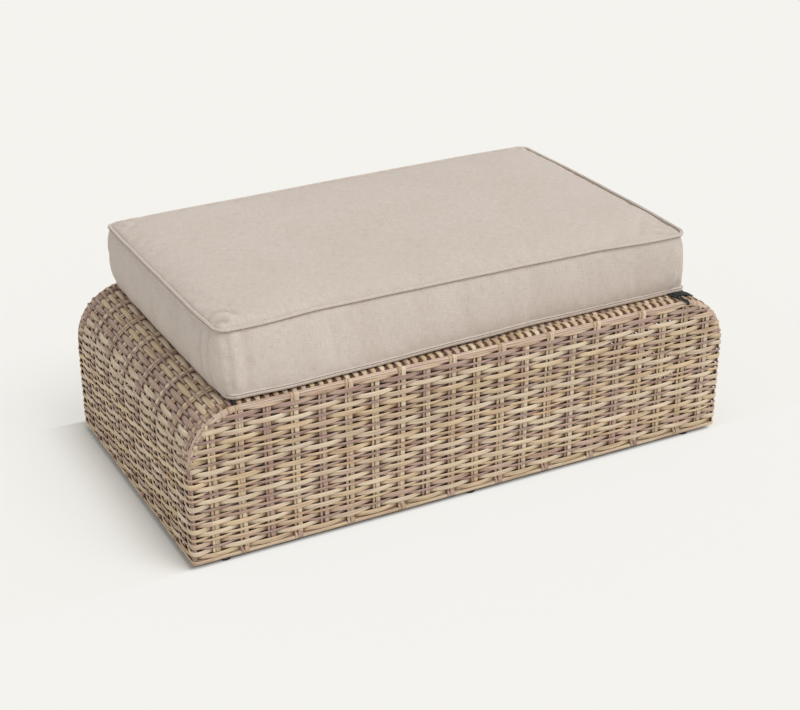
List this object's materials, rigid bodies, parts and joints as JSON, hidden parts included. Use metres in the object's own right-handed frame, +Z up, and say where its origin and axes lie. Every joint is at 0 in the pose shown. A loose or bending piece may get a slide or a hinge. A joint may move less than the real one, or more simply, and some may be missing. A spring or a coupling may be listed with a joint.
{
  "type": "outdoor ottoman footstool",
  "caption": "Woven resin-wicker box ottoman on an aluminium tube frame, with rounded shoulders, small glides and a loose piped box cushion with corner ties and a zip.",
  "frame": {"origin": "on the floor, under the middle of the whole object's box", "axes": "+X along the length, +Y towards the back, where the cushion's zip is, +Z up"},
  "size_m": [1.05, 0.6018, 0.4123],
  "materials": {
    "frame": "powder coat, satin",
    "wicker": "woven resin strand, mixed straw, tan and taupe",
    "glide": "moulded, satin",
    "foam": "open-cell foam",
    "fabric": "fine plain-weave outdoor cloth, matt",
    "webbing": "flat woven tape, matt",
    "zip": "moulded coil zip, satin"
  },
  "bodies": {
    "base": {"bottom_rail_front": "frame", "bottom_rail_back": "frame", "bottom_rail_left": "frame", "bottom_rail_right": "frame", "bottom_stretcher": "frame", "corner_post_front_left": "frame", "corner_post_front_right": "frame", "corner_post_back_left": "frame", "corner_post_back_right": "frame", "middle_post_front": "frame", "middle_post_back": "frame", "shoulder_tube_front_left": "frame", "shoulder_tube_front_right": "frame", "shoulder_tube_back_left": "frame", "shoulder_tube_back_right": "frame", "top_rail_front": "frame", "top_rail_back": "frame", "deck_bearer_1": "frame", "deck_bearer_2": "frame", "deck_bearer_3": "frame", "deck_bearer_4": "frame", "deck_bearer_5": "frame", "front_weave": "wicker", "back_weave": "wicker", "left_end_weave": "wicker", "right_end_weave": "wicker", "deck_weave": "wicker", "front_binding": "wicker", "back_binding": "wicker", "front_hem": "wicker", "back_hem": "wicker", "left_hem": "wicker", "right_hem": "wicker", "glide_front_left": "glide", "glide_front_middle": "glide", "glide_front_right": "glide", "glide_back_left": "glide", "glide_back_middle": "glide", "glide_back_right": "glide"},
    "cushion": {"foam_core": "foam", "cover_top": "fabric", "cover_bottom": "fabric", "cover_boxing": "fabric", "piping_top": "fabric", "piping_bottom": "fabric", "tie_front_right": "webbing", "tie_tail_front_right": "webbing", "tie_front_left": "webbing", "tie_back_left": "webbing", "tie_back_right": "webbing", "zip_chain": "zip"},
    "slider": {"zip_slider": "zip"},
    "pull": {"zip_pull": "zip"}
  },
  "joints": [
    {"name": "cushion_lift", "type": "slide", "parent": "base", "child": "cushion", "axis": [0, 0, 1], "range_m": [0, 0.15]},
    {"name": "zip_slide", "type": "slide", "parent": "cushion", "child": "slider", "axis": [1, 0, 0], "range_m": [-0.596, 0]},
    {"name": "pull_swing", "type": "hinge", "parent": "slider", "child": "pull", "pos_m": [0.298, 0.29855, 0.3413], "axis": [0, 0, -1], "range_deg": [0, 180]}
  ]
}
